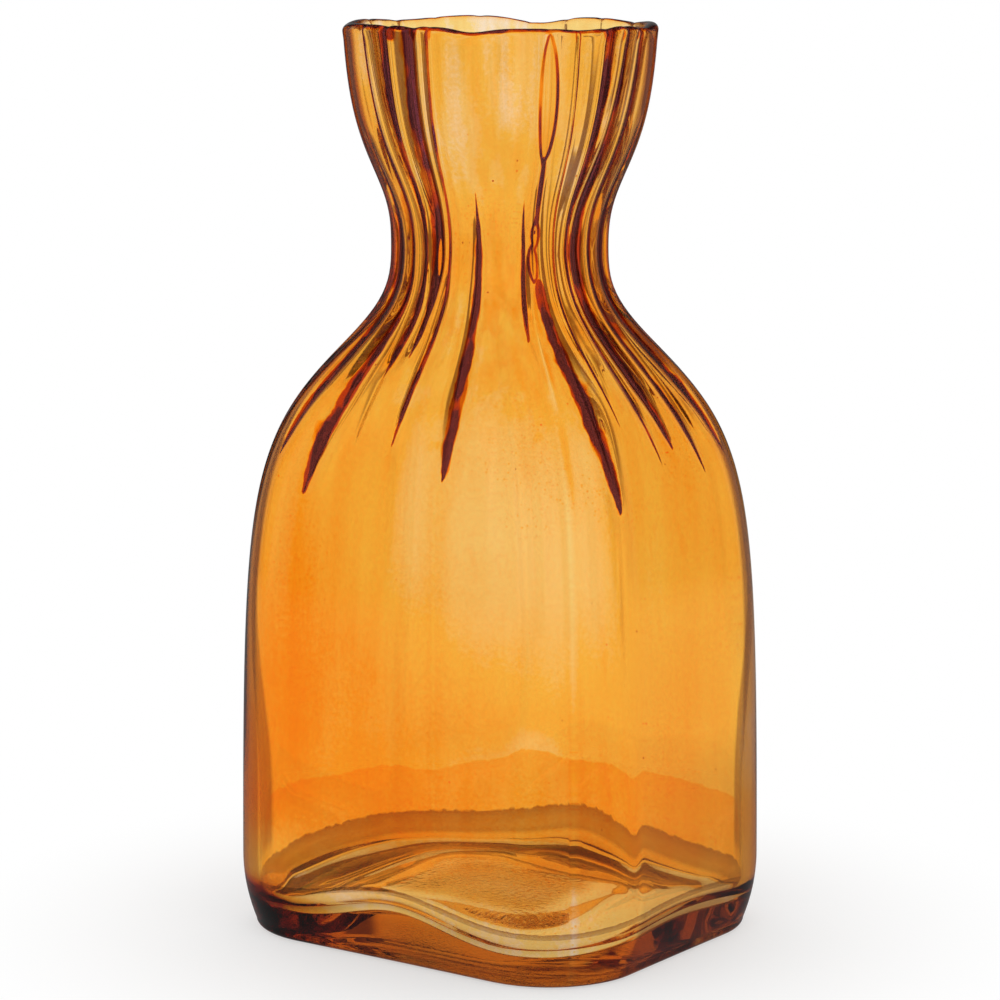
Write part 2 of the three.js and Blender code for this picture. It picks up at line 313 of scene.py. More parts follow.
# Stage: soft panels round the vase, the gaps between them, and the floor in metres
PANELS = 8
PANEL_TURN = math.radians(54.4)
GAP_COLOUR = "#8c746e"
OVERHEAD_COLOUR = "#bcaca8"
PAPER_COLOUR = "#f5f4f2"
WHITE = "#ffffff"
GLOSS_LIGHT = 0.15
FLOOR_HALF = 6.0
FLOOR_LEVEL = -0.2 * MM
SENSOR_WIDTH = 36

# Light that is caught in thick glass comes out again only after many bounces
LIGHT_BOUNCES = 40

# Settings of nodes that are used often
ADD = {"operation": "ADD"}
TIMES = {"operation": "MULTIPLY"}
TIMES_ADD = {"operation": "MULTIPLY_ADD"}
STEP = {"interpolation_type": "SMOOTHSTEP"}
BLEND = {"data_type": "RGBA"}


def hex_linear(code):
    """sRGB hex colour to linear red, green, blue and alpha 1."""
    share = np.array([int(code[i:i + 2], 16) for i in (1, 3, 5)]) / 255
    linear = np.where(share <= 0.04045, share / 12.92, ((share + 0.055) / 1.055) ** 2.4)
    return (*linear.tolist(), 1.0)


def length(name, millimetres, description):
    """Property that holds a length."""
    return FloatProperty(name=name, description=description, default=millimetres * MM, unit="LENGTH")


class VaseSizes(bpy.types.PropertyGroup):
    """Sizes of the vase's outer form, its walls, its foot and its creases."""

    height: length("Height", round(CAD_BOX[1][2] / MM), "Foot to the highest point of the rim")
    body_width: length("Body width", 102, "Across the wider pair of faces")
    body_depth: length("Body depth", 87, "Across the narrower pair of faces")
    body_corner: length("Body corner", 24, "Plan radius of the body's corners")
    waist_height: length("Waist height", round(NECK_LOW.z / MM, 1), "Height of the narrowest level")
    waist_width: length("Waist width", 47, "Width of the waist along X")
    waist_depth: length("Waist depth", 41, "Depth of the waist along Y")
    waist_corner: length("Waist corner", 18.5, "Plan radius of the waist's corners")
    rim_width: length("Rim width", 67.5, "Width of the rim along X")
    rim_depth: length("Rim depth", 58, "Depth of the rim along Y")
    rim_corner: length("Rim corner", 26, "Plan radius of the rim's corners")
    shoulder_half_drop: length(
        "Shoulder half drop", 28.8, "Drop below the waist where the shoulder is half open")
    neck_half_rise: length("Neck half rise", 21, "Rise above the waist where the neck is half open")
    body_wall: length("Body wall", 3.5, "Glass thickness of the body")
    corner_thin: length("Corner thin", 4, "How much sharper the corners of the body are inside")
    corner_thin_from: length(
        "Corner thin from", 30, "Height at which the corners of the body begin to be thinner")
    corner_thin_full: length(
        "Corner thin full", 80, "Height from which the corners of the body are thinnest")
    neck_wall: length("Neck wall", 3, "Glass thickness of the neck")
    heel_inset: length("Heel inset", 3.4, "How far the heel draws in at the foot")
    heel_rise: length("Heel rise", 16, "Height from which the heel draws in")
    foot_edge: length("Foot edge", 1.5, "Radius of the foot's rounded edge")
    foot_ring: length("Foot ring", 9, "Width of the flat ring that carries the vase")
    hollow_height: length("Hollow height", 3.5, "Height of the hollow in the underside")
    floor_corner: length("Floor corner", 6.5, "Height of the inside floor in its corners")
    floor_middle: length("Floor middle", 9.5, "Height of the inside floor in its middle")
    floor_swell_x: length("Floor swell X", 2.5, "Rise of the floor's edge at the narrower faces")
    floor_swell_y: length("Floor swell Y", 4.5, "Rise of the floor's edge at the wider faces")
    floor_ring: length("Floor ring", 0.9, "Depth of the oval groove in the inside floor")
    floor_fillet: length("Floor fillet", 5, "Radius between the floor and the wall")
    crease_slide: length(
        "Crease slide", 50, "Drop below the waist over which a crease swings to its foot")
    crease_least: length("Crease least", 0.9, "Half width of the narrowest bend that the glass takes")
    seam_height: length("Seam height", 0.12, "How far the mould's joint line stands proud")
    seam_width: length("Seam width", 0.3, "Half width of the mould's joint line")


class GlassLook(bpy.types.PropertyGroup):
    """Colours of the glass and strengths of its coats."""

    absorption: FloatVectorProperty(
        name="Absorption colour", description="Colour that the glass lets through",
        subtype="COLOR", size=4, default=hex_linear("#f1ddb3"), min=0, max=1)
    density: FloatProperty(
        name="Absorption density", description="How fast the glass takes up light, per metre",
        default=50)
    coat_colour: FloatVectorProperty(
        name="Coat colour", description="Colour of one layer of the amber coat",
        subtype="COLOR", size=4, default=hex_linear("#ffdc86"), min=0, max=1)
    # Colour of the painted shade in the fillet, in the foot and along the edges, and of the stipple's
    # mottle
    shade_colour: FloatVectorProperty(
        name="Shade colour", description="Brown shade in the fillet, in the foot and along the edges",
        subtype="COLOR", size=4, default=hex_linear("#7c5f69"), min=0, max=1)
    body_coat: FloatProperty(
        name="Body coat", description="Strength of the amber coat on the body", default=1.35)
    rim_coat: FloatProperty(
        name="Rim coat", description="Strength of the amber coat at the rim", default=1.0)
    foot_share: FloatProperty(
        name="Foot share", description="Share of the body's coat that is left at the foot", default=0.7)
    # Strength of the deeper amber on the back below a wavy line
    back_band_coat: FloatProperty(
        name="Run coat", description="Strength of the second coat that ran down the back", default=0.9)
    # Strength of the painted shade along the creases and round the loops
    crease_shade: FloatProperty(
        name="Crease coat", description="Strength of the amber coat that gathered in the creases",
        default=5.2)


class StudioSizes(bpy.types.PropertyGroup):
    """Place and lens of the camera."""

    camera_turn: FloatProperty(
        name="Camera turn", description="Turn of the camera round the vase from the wider face",
        default=math.radians(35.6), subtype="ANGLE")
    camera_distance: length("Camera distance", 831, "Level distance from the axis")
    camera_height: length("Camera height", 240, "Height above the floor")
    camera_pitch: FloatProperty(
        name="Camera pitch", description="Tilt below the horizon",
        default=math.radians(9.87), subtype="ANGLE")
    lens: FloatProperty(
        name="Lens", description="Focal length on a 36 mm sensor", default=138.1)


def smooth(share):
    """Cubic step: 0 below 0, 1 above 1, level at both ends."""
    share = np.clip(share, 0, 1)
    return share * share * (3 - 2 * share)


def ramp(level, start, end):
    """Cubic step of a height from 0 at a start to 1 at an end, above or below it, in millimetres."""
    return smooth((level / MM - start) / (end - start))


def bell(share):
    """Bell curve: 1 at 0, falling to 1/e at 1."""
    return np.exp(-share ** 2)


def hump(level, middle, half):
    """Bell curve of a height round a middle, both and its half width in millimetres."""
    return bell((level / MM - middle) / half)


def wrapped(turn):
    """The same turn within half a lap either way."""
    return np.arctan2(np.sin(turn), np.cos(turn))


def near(turn, place, half):
    """Bell curve of a turn round a place, both and its half width in degrees."""
    return bell(np.degrees(wrapped(turn - np.radians(place))) / half)


def patch(turn, level, place, half, start, end):
    """Bell curve round a place that comes in between two levels."""
    return near(turn, place, half) * ramp(level, start, end)


def lobe(turn, place, power):
    """Swelling round a place in degrees: a raised cosine, 0 on the far side, narrower for a higher
    power and 1 all round for none."""
    return (0.5 + 0.5 * np.cos(turn - np.radians(place))) ** power


def mix(low, high, share):
    """Straight line from low to high."""
    return low + (high - low) * share


def reach(width, depth, corner, turn):
    """Distance from the axis to a rounded rectangle's edge in the direction of a turn: the straight
    side that the ray meets, or the far crossing of the ray with the corner's circle."""
    c, s = np.abs(np.cos(turn)), np.abs(np.sin(turn))
    x, y = width / 2 - corner, depth / 2 - corner
    along = x * c + y * s
    bend = along + np.sqrt(np.maximum(along ** 2 - x ** 2 - y ** 2 + corner ** 2, 0))
    side_x = width / 2 / np.maximum(c, 1e-9)
    side_y = depth / 2 / np.maximum(s, 1e-9)
    far = np.where(c * depth / 2 <= s * x, side_y, bend)
    return np.where(s * width / 2 <= c * y, side_x, far)


def opening(distance, half, sharpness):
    """S-shaped share from 0 at the waist towards 1 far from it, a half at the given distance."""
    power = np.maximum(distance, 0) ** sharpness
    return power / (half ** sharpness + power)


class VaseForm:
    """The vase's surfaces as functions of a column's place round the vase and a height."""

    def __init__(self, sizes):
        self.s = sizes
        self.rim_turn, self.waist_turn, self.foot_turn = np.radians(CREASES.T[:3])
        self.rim_width, self.waist_width, self.low_width, self.run = CREASES.T[3:7] * MM
        # gathered: how dark the painted shade along each crease is
        self.steepness, self.gathered = CREASES.T[7:]
        self.columns = self.column_places()

    def column_places(self):
        """Places round the vase counted in creases: even steps, finer ones across both seams, and all
        of them crowded towards the creases by a sine."""
        count = len(CREASES)
        even = np.arange(count * STEPS_PER_PLEAT) / STEPS_PER_PLEAT
        foot = np.degrees(self.foot_turn)
        laps = np.append(foot, foot[0] + 360)
        seams = np.interp(SEAM_TURNS, laps, np.arange(count + 1))
        fine = (seams[:, None] + np.array(SEAM_STEPS)).ravel()
        beside = np.abs(even[:, None] - seams).min(axis=1) < max(SEAM_STEPS) + SEAM_CLEAR
        places = np.sort(np.concatenate([even[~beside], fine]))
        return places - COLUMN_CROWDING * np.sin(2 * np.pi * places) / (2 * np.pi)

    def crease_turns(self, z):
        """Turn of each crease at each height: from the waist up to the rim, and down to its foot."""
        s = self.s
        drop = np.clip((s.waist_height - z[:, None]) / s.crease_slide, 0, 1)
        below = mix(self.waist_turn, self.foot_turn, drop)
        return mix(below, self.rim_turn, self.rise_share(z)[:, None])

    def turns(self, z):
        """Turn of each column at each height, between its two neighbouring creases."""
        creases = self.crease_turns(z)
        laps = np.concatenate([creases, creases[:, :1] + 2 * np.pi], axis=1)
        index = np.floor(self.columns).astype(int)
        return mix(laps[:, index], laps[:, index + 1], self.columns - index)

    def rise_share(self, z):
        """Share of the way from the waist to the top."""
        s = self.s
        return np.clip((z - s.waist_height) / (s.height - s.waist_height), 0, 1)

    def opened(self, z):
        """Share of the way from the waist out to the body below it or the rim above it."""
        s = self.s
        below = opening(s.waist_height - z, s.shoulder_half_drop, SHOULDER_SHARPNESS)
        below /= opening(s.waist_height - s.heel_rise, s.shoulder_half_drop, SHOULDER_SHARPNESS)
        above = opening(z - s.waist_height, s.neck_half_rise, NECK_SHARPNESS)
        above /= opening(s.height - s.waist_height, s.neck_half_rise, NECK_SHARPNESS)
        return np.minimum(np.where(z <= s.waist_height, below, above), 1)

    def plan(self, z):
        """Width, depth and corner radius of the outer plan at each height, without heel and creases."""
        s = self.s
        lower = z <= s.waist_height
        share = self.opened(z)
        return (
            mix(s.waist_width, np.where(lower, s.body_width, s.rim_width), share),
            mix(s.waist_depth, np.where(lower, s.body_depth, s.rim_depth), share),
            mix(s.waist_corner, np.where(lower, s.body_corner, s.rim_corner), share),
        )

    def mean_radius(self, z):
        """Mean of half the width and half the depth at each height, for lengths along the wall."""
        width, depth, _ = self.plan(z)
        return ((width + depth) / 4)[:, None, None]

    def inset_reach(self, z, turn, inset, sharper=0):
        """Distance from the axis to the plan moved inwards by inset, with sharper corners."""
        width, depth, corner = self.plan(z)
        return reach(width - 2 * inset, depth - 2 * inset, corner - inset - sharper, turn)

    def crease_widths(self, z, widest=CREASE_WIDEST, point=CREASE_POINT):
        """Width of each crease at each height: from the rim to the waist, on to its widest place below
        it, and from there to a point at its foot, which is blunter for a lower power."""
        s = self.s
        drop = np.clip((s.waist_height - z[:, None]) / self.run, 0, 1)
        taper = np.clip((1 - drop) / (1 - widest), 0, 1) ** point
        below = mix(self.waist_width, self.low_width, smooth(drop / widest)) * taper
        return np.maximum(mix(below, self.rim_width, self.rise_share(z)[:, None]), 0)

    def crease_away(self, turn, z):
        """Distance along the wall from each crease."""
        return wrapped(turn[:, :, None] - self.crease_turns(z)[:, None, :]) * self.mean_radius(z)

    def crease_depth(self, turn, z, widen=1.0):
        """Sum of bell-shaped grooves, one for each crease, in proportion to its width."""
        width = self.crease_widths(z)
        spread = widen * np.maximum(CREASE_BELL * width, self.s.crease_least)
        away = self.crease_away(turn, z) / spread[:, None, :]
        return ((self.steepness * width)[:, None, :] * bell(away)).sum(axis=2)

    def streak_shade(self, turn, z):
        """Painted shade along the creases: bells that reach a half at the edges of each crease,
        without the upper part of the one whose painted shade is drawn as loops."""
        width = self.crease_widths(z, STREAK_SHADE_WIDEST, STREAK_SHADE_POINT)
        spread = np.maximum(STREAK_SHADE_BELL * width, STREAK_SHADE_LEAST)
        strength = self.gathered * np.minimum(width / (2 * STREAK_SHADE_LEAST), 1)
        strength[:, LOOP_CREASE] *= 1 - smooth((z - LOOP_LEVEL) / LOOP_FADE)
        away = self.crease_away(turn, z) / spread[:, None, :]
        return (strength[:, None, :] * bell(away)).sum(axis=2)

    def loops(self, turn, z):
        """Distance in millimetres from the nearest of the loops of painted shade, less than 0 inside it:
        each is a lens along its crease, the root of half a sine wave to either side."""
        crease, shift, low, high, half = LOOPS.T
        level = z[:, None] / MM
        along = np.clip((level - low) / (high - low), 0, 1)
        lens = half * np.sin(np.pi * along) ** LOOP_ROUND
        beyond = np.maximum(low - level, level - high)
        aside = np.abs(self.crease_away(turn, z)[:, :, crease.astype(int)] / MM - shift)
        away = np.maximum(aside - lens[:, None, :], beyond[:, None, :])
        nearest = np.abs(away).argmin(axis=2)
        return np.take_along_axis(away, nearest[:, :, None], axis=2)[:, :, 0]

    def heel(self, z):
        """Inset of the heel: a parabola that meets the straight wall smoothly."""
        s = self.s
        return s.heel_inset * (np.maximum(s.heel_rise - z, 0) / s.heel_rise) ** 2

    def seam_line(self, turn, z, shift=0.0):
        """Bell-shaped lines where the two halves of the mould met, along two opposite corners, or
        lines beside them at a distance."""
        away = wrapped(turn[:, :, None] - np.radians(SEAM_TURNS)) * self.mean_radius(z)
        return bell((away - shift) / self.s.seam_width).sum(axis=2)

    def outer(self, turn, z):
        """Distance from the axis to the outer surface: the plan less the heel and the creases, with
        the seams standing proud."""
        base = self.inset_reach(z[:, None], turn, self.heel(z)[:, None])
        return base - self.crease_depth(turn, z) + self.s.seam_height * self.seam_line(turn, z)

    def wall(self, z):
        """Glass thickness, from the neck's to the body's."""
        s = self.s
        return np.where(z >= s.waist_height, s.neck_wall, mix(s.neck_wall, s.body_wall, self.opened(z)))

    def inner(self, turn, z):
        """Distance from the axis to the inner surface: the plan less the wall, with corners that get
        sharper with height on the body, and with shallower and softer creases."""
        s = self.s
        below = np.where(z <= s.waist_height, self.opened(z), 0)
        risen = smooth((z - s.corner_thin_from) / (s.corner_thin_full - s.corner_thin_from))
        sharper = s.corner_thin * below * risen
        base = self.inset_reach(z[:, None], turn, self.wall(z)[:, None], sharper[:, None])
        return base - CREASE_INSIDE * self.crease_depth(turn, z, CREASE_SOFTER)

    def floor_edge(self, turn):
        """Height of the floor where it meets the fillet: low in the corners, swollen along the faces."""
        s = self.s
        swell = s.floor_swell_x * np.cos(turn) ** 2 + s.floor_swell_y * np.sin(turn) ** 2
        return s.floor_corner + swell * np.cos(2 * turn) ** 2

    def base_top(self):
        """Height at which the wall is clear of the floor and its fillet."""
        s = self.s
        return s.floor_corner + max(s.floor_swell_x, s.floor_swell_y) + s.floor_fillet + FILLET_CLEAR

    def hollow_rows(self, shares):
        """Underside: a dome that keeps its level and bends down at its edge."""
        s = self.s
        z = np.zeros(len(shares))
        turn = self.turns(z)
        edge = self.inset_reach(z[:, None], turn, s.heel_inset + s.foot_ring)
        height = s.hollow_height * (1 - shares ** HOLLOW_POWER)
        return turn, shares[:, None] * edge, np.broadcast_to(height[:, None], turn.shape)

    def foot_edge_rows(self, angles):
        """Quarter circle between the foot ring and the heel."""
        s = self.s
        z = np.full(len(angles), s.foot_edge)
        turn = self.turns(z)
        distance = self.outer(turn, z) - s.foot_edge * (1 - np.sin(angles))[:, None]
        height = s.foot_edge * (1 - np.cos(angles))
        return turn, distance, np.broadcast_to(height[:, None], turn.shape)

    def wall_rows(self, z, surface):
        """Outer or inner wall at level heights."""
        turn = self.turns(z)
        return turn, surface(turn, z), np.broadcast_to(z[:, None], turn.shape)

    def rim_dips(self, turn):
        """Sum of bell-shaped dips in the rim."""
        place, depth, half = RIM_DIPS.T
        return (depth * MM * near(turn[:, :, None], place, half)).sum(axis=2)

    def lip_rows(self, angles):
        """Half circle over the rim, from the outside to the inside, lower where a crease meets it."""
        s = self.s
        z = np.full(len(angles), s.height)
        turn = self.turns(z)
        outer, inner = self.outer(turn, z), self.inner(turn, z)
        half, middle = (outer - inner) / 2, (outer + inner) / 2
        crest = s.height - RIM_DIP * self.crease_depth(turn, z) - self.rim_dips(turn)
        return (
            turn,
            middle + half * np.cos(angles)[:, None],
            crest - half * (1 - np.sin(angles)[:, None]),
        )

    def fillet_rows(self, angles):
        """Quarter circle from the inner wall down to the floor."""
        s = self.s
        z = np.full(len(angles), self.base_top())
        turn = self.turns(z)
        distance = self.inner(turn, z) - s.floor_fillet * (1 - np.cos(angles))[:, None]
        return turn, distance, self.floor_edge(turn) + s.floor_fillet * (1 - np.sin(angles))[:, None]

    def floor_rows(self, shares):
        """Inside floor, from the fillet to the middle: a power of the share of the way out, from the
        middle's height to the edge's, less a bell-shaped oval groove."""
        s = self.s
        z = np.full(len(shares), self.base_top())
        turn = self.turns(z)
        distance = shares[:, None] * (self.inner(turn, z) - s.floor_fillet)
        ring = s.floor_ring * bell((shares - FLOOR_RING_SHARE) / FLOOR_RING_WIDTH)
        height = mix(s.floor_middle, self.floor_edge(turn), shares[:, None] ** FLOOR_POWER)
        return turn, distance, height - ring[:, None]

    def tails(self, turn, z):
        """Soft trails of painted shade that run down from the points of the wider creases: bells across
        the trail, rising above the crease's point and fading below it."""
        drop = self.s.waist_height - self.run - z[:, None]
        along = smooth(1 + drop / TAIL_RISE) * (1 - smooth(drop / TAIL_FALL))
        strength = self.gathered * np.minimum(self.low_width / TAIL_CREASE, 1) * along
        return (strength[:, None, :] * bell(self.crease_away(turn, z) / TAIL_HALF)).sum(axis=2)

    def seam_coat(self, turn, z):
        """Change of the coat along the seams: less on their crest, more beside them, none on the neck."""
        beside = SEAM_DEEP * self.seam_line(turn, z, 2 * self.s.seam_width)
        return (beside - SEAM_BARE * self.seam_line(turn, z)) * ramp(z[:, None], *SEAM_LEVELS)

    def coat(self, turn, z, look):
        """Strength of the amber coat on the outside: a slow change with height, thinner at the foot,
        then the sum of broad swellings, a paler painted light in the middle of the front, patches with
        painted shade on the neck's sides and at the heel's corner, paler upright corners, seams, and the
        trails of painted shade below the creases."""
        extra = TAIL_SHADE * self.tails(turn, z) + self.seam_coat(turn, z)
        z = z[:, None]
        risen = ramp(z, *(share * self.s.height / MM for share in RIM_LEVELS))
        even = mix(look.body_coat, look.rim_coat, risen)
        even = even * mix(1, look.foot_share, ramp(z, *FOOT_LEVELS))
        for strength, level, half, place, power, start, full in COAT_SWELLS_AND_PAINTED_LIGHT:
            even = even + strength * hump(z, level, half) * lobe(turn, place, power) * ramp(z, start, full)
        for strength, place in COAT_AND_SHADE_PATCHES:
            even = even + strength * patch(turn, z, *place)
        # Painted shade on the left flank
        flank = hump(z, *FLANK_LEVEL) * patch(turn, z, *LEFT_FLANK)
        corners = sum(patch(turn, z, *place) for place in BODY_CORNERS) * ramp(z, *CORNER_END)
        return even + FLANK_SHADE * flank + CORNER_COAT * corners + extra

    def foot_shade(self, turn, z):
        """Share of the painted shade in the thick foot: a broad bell on the front and one at its left
        corner, up to the top of the heel."""
        z = z[:, None]
        return FOOT_SHADE * patch(turn, z, *FOOT_FRONT) + FOOT_CORNER_SHADE * patch(turn, z, *HEEL_CORNER)

    def back(self, turn):
        """1 on the two faces at the back, 0 on the two at the front."""
        return smooth((np.cos(turn - np.radians(BACK_TURN)) + BACK_EDGE) / (2 * BACK_EDGE))

    def below_back_line(self, turn, z):
        """How far a point lies below the wavy line on the back under which the amber is deeper, in
        millimetres, and far above that line on the front."""
        line = BACK_LINE_LEVEL + np.sin(BACK_LINE_WAVES * turn) - BACK_LINE_TONGUE * near(turn, *TONGUE_TURN)
        return line - z[:, None] / MM - BACK_LINE_FRONT * (1 - self.back(turn))

    def fillet_shade_level(self, turn, height):
        """Height over the floor's edge in millimetres, drawn together on the front round the line up to
        which the fillet gets painted shade, so that the painted shade is a broad band at the back and a
        thin line there."""
        level = (height - self.floor_edge(turn)) / MM
        return FILLET_SHADE_LINE + (level - FILLET_SHADE_LINE) * mix(FILLET_SHADE_FRONT, 1, self.back(turn))

    def grid(self, look):
        """All rows from the middle of the underside, over the rim, to the middle of the floor, and the
        layers of numbers for the glass: the coat, which ends on the crest of the rim and at the foot,
        the painted shade in the creases and on the lip, the loops, the deeper amber below the wavy line
        on the back, the level for the painted shade in the fillet, the stipple in the middle of the
        underside and the floor, the upright walls, and the painted shade in the foot."""
        s = self.s
        quarter = np.linspace(0, np.pi / 2, QUARTER_ROWS)
        lip = np.linspace(0, np.pi, LIP_ROWS)
        hollow = np.linspace(HOLLOW_POLE, 1, HOLLOW_ROWS)
        floor = np.linspace(1, FLOOR_POLE, FLOOR_ROWS)[1:]
        parts = [
            self.hollow_rows(hollow),
            self.foot_edge_rows(quarter),
            self.wall_rows(np.linspace(s.foot_edge, s.height - LIP_DROP, OUTSIDE_ROWS)[1:], self.outer),
            self.lip_rows(lip),
            self.wall_rows(np.linspace(s.height - LIP_DROP, self.base_top(), INSIDE_ROWS), self.inner),
            self.fillet_rows(quarter),
            self.floor_rows(floor),
        ]
        turn, distance, height = (np.concatenate(rows) for rows in zip(*parts))
        points = np.stack([distance * np.cos(turn), distance * np.sin(turn), height], axis=2)
        counts = np.cumsum([0] + [len(rows[0]) for rows in parts])
        under, bend, over = slice(0, counts[1]), slice(counts[1], counts[2]), slice(counts[6], None)
        rim, outside = slice(counts[3], counts[4]), slice(counts[1], counts[4])
        inside = slice(counts[4], counts[6])
        layers = {name: np.full(turn.shape, fill) for name, fill in LAYERS.items()}
        coat, streak_shade, fillet_shade_level, stipple = (layers[name] for name in ("coat", "streak_shade", "fillet_shade_level", "stipple"))
        here = turn[outside], np.median(height, axis=1)[outside]
        coat[outside] = self.coat(*here, look)
        streak_shade[outside] = self.streak_shade(*here)
        layers["below_back_line"][outside] = self.below_back_line(*here)
        layers["loops"][outside] = self.loops(*here)
        # Painted shade in the foot
        layers["foot"][outside] = self.foot_shade(*here)
        layers["upright"][counts[1]:counts[5]] = 1
        coat[bend] *= np.linspace(0, 1, QUARTER_ROWS)[:, None]
        coat[rim] *= smooth(np.linspace(2, 0, LIP_ROWS))[:, None]
        # Painted shade: a dark line along the crest of the lip
        crest = smooth((np.sin(lip) - LIP_LINE) / (1 - LIP_LINE)) * (lip < LIP_TURN)
        streak_shade[rim] = np.maximum(streak_shade[rim], LIP_SHADE * crest[:, None])
        # Level for the painted shade band in the fillet
        fillet_shade_level[inside] = self.fillet_shade_level(turn[inside], height[inside])
        fillet_shade_level[over] = fillet_shade_level[counts[6] - 1]
        stipple[under] = smooth((STIPPLE_EDGE - hollow) / STIPPLE_FADE)[:, None]
        stipple[over] = STIPPLE_SHINE * smooth((STIPPLE_EDGE - floor) / STIPPLE_FLOOR_FADE)[:, None]
        for part in (under, over):
            coat[part] = STIPPLE_COAT * stipple[part]
        return points, layers


def lathe_mesh(name, grid, layers, first_pole, last_pole):
    """Closed mesh from rows of points that run round an axis, with a pole at each end, and with
    named layers of one number for each point."""
    rows, columns = grid.shape[:2]
    points = np.concatenate([grid.reshape(-1, 3), [first_pole, last_pole]])
    here = np.arange(columns)
    right = np.roll(here, -1)
    row = (np.arange(rows - 1) * columns)[:, None]
    quads = np.stack([row + here, row + right, row + columns + right, row + columns + here], axis=2)
    start, end = rows * columns, rows * columns + 1
    last = (rows - 1) * columns
    fan = np.stack([np.full(columns, start), right, here], axis=1)
    cap = np.stack([last + here, last + right, np.full(columns, end)], axis=1)
    mesh = bpy.data.meshes.new(name)
    mesh.from_pydata(points.tolist(), [], quads.reshape(-1, 4).tolist() + fan.tolist() + cap.tolist())
    mesh.polygons.foreach_set("use_smooth", np.ones(len(mesh.polygons), bool))
    for key, values in layers.items():
        layer = mesh.attributes.new(key, "FLOAT", "POINT")
        ends = values[0].mean(), values[-1].mean()
        layer.data.foreach_set("value", np.append(values.ravel(), ends).astype(np.float32))
    mesh.update()
    return mesh


def add_node(tree, kind, settings=None, **inputs):
    """Adds a node, sets its attributes and its inputs, and links inputs that are sockets, or nodes, of
    which the first output counts."""
    node = tree.nodes.new("ShaderNode" + kind)
    for key, value in (settings or {}).items():
        setattr(node, key, value)
    for key, value in inputs.items():
        socket = node.inputs[int(key[1:])] if key[1:].isdigit() else node.inputs[key.replace("_", " ")]
        if isinstance(value, bpy.types.Node):
            value = value.outputs[0]
        if isinstance(value, bpy.types.NodeSocket):
            tree.links.new(value, socket)
        else:
            socket.default_value = value
    return node


def new_material(name):
    """Empty node material and its node tree."""
    material = bpy.data.materials.new(name)
    material.use_nodes = True
    material.node_tree.nodes.clear()
    return material, material.node_tree


def amber_coat(tree, look, place, level, facing, layer, noise):
    """Strength of the amber coat: its layer and the deeper amber below the wavy line on the back, times
    clouds, speckle and upright bands, with dark specks and patches of seeds in it, and stronger where
    the surface turns away from the eye, partly for the slant way of the light through it and partly as
    painted shade at the edges."""
    # Deeper amber on the back below a wavy line
    back_wave = add_node(tree, "Math", TIMES_ADD, _0=noise["wavy_edge"], _1=EDGE_WOBBLE, _2=layer["below_back_line"])
    run = add_node(tree, "MapRange", STEP, Value=back_wave, **RANGES["run"], To_Max=look.back_band_coat)
    strength = add_node(tree, "Math", ADD, _0=layer["coat"], _1=run)
    uneven = add_node(tree, "MapRange", Value=noise["cloud"], **RANGES["uneven"])
    speckle = add_node(tree, "MapRange", Value=noise["grain"], **RANGES["speckle"])
    swing = add_node(tree, "MapRange", Value=noise["wash"], **RANGES["swing"])
    most = add_node(tree, "MapRange", STEP, Value=level, **RANGES["band"])
    bands = add_node(tree, "Math", TIMES_ADD, _0=swing, _1=most, _2=1.0)
    for factor in (uneven, speckle, bands):
        strength = add_node(tree, "Math", TIMES, _0=strength, _1=factor)
    specks = add_node(tree, "TexVoronoi", Vector=place, Scale=1 / SPECK_GAP)
    speck = add_node(tree, "MapRange", STEP, Value=specks, **RANGES["speck"])
    strength = add_node(tree, "Math", ADD, _0=strength, _1=speck)
    seeds = add_node(tree, "TexVoronoi", Vector=place, Scale=1 / SEED_GAP)
    seed = add_node(tree, "MapRange", STEP, Value=seeds, **RANGES["seed"])
    crowd = add_node(tree, "MapRange", STEP, Value=noise["cloud"], **RANGES["crowd"])
    strength = add_node(tree, "Math", TIMES_ADD, _0=seed, _1=crowd, _2=strength)
    slant = add_node(tree, "Math", {"operation": "POWER"}, _0=facing, _1=COAT_EDGE_POWER)
    longer = add_node(tree, "Math", TIMES_ADD, _0=slant, _1=COAT_EDGE, _2=1.0)
    return add_node(tree, "Math", TIMES, _0=strength, _1=longer)


def painted_crease_shade(tree, look, layer, noise):
    """Strength of the painted shade along the creases: a frayed fringe and a core that comes and
    goes along it, almost none inside the loops, and lines of changing weight round these."""
    fray = add_node(tree, "MapRange", Value=noise["ragged"], **RANGES["fray"])
    frayed = add_node(tree, "Math", ADD, _0=layer["streak_shade"], _1=fray)
    fringe = add_node(
        tree, "MapRange", STEP,
        Value=frayed, **RANGES["fringe"], To_Max=FRINGE_SHARE * look.crease_shade)
    wander = add_node(tree, "MapRange", Value=noise["drift"], **RANGES["wander"])
    deep = add_node(tree, "Math", ADD, _0=layer["streak_shade"], _1=wander)
    core = add_node(
        tree, "MapRange", STEP,
        Value=deep, **RANGES["core"], To_Max=(1 - FRINGE_SHARE) * look.crease_shade)
    streak = add_node(tree, "Math", ADD, _0=fringe, _1=core)
    bare = add_node(tree, "MapRange", STEP, Value=layer["loops"], **RANGES["bare"])
    streak = add_node(tree, "Math", TIMES, _0=streak, _1=bare)
    nearness = add_node(tree, "Math", {"operation": "ABSOLUTE"}, _0=layer["loops"])
    line = add_node(tree, "MapRange", STEP, Value=nearness, **RANGES["line"])
    heavy = add_node(
        tree, "MapRange", Value=noise["drift"], **RANGES["heavy"],
        To_Min=LINE_LEAST * look.crease_shade, To_Max=LINE_MOST * look.crease_shade)
    line = add_node(tree, "Math", TIMES, _0=line, _1=heavy)
    streak = add_node(tree, "Math", {"operation": "MAXIMUM"}, _0=streak, _1=line)
    held = add_node(tree, "MapRange", STEP, Value=layer["loops"], **RANGES["held"])
    return add_node(tree, "Math", ADD, _0=held, _1=streak)


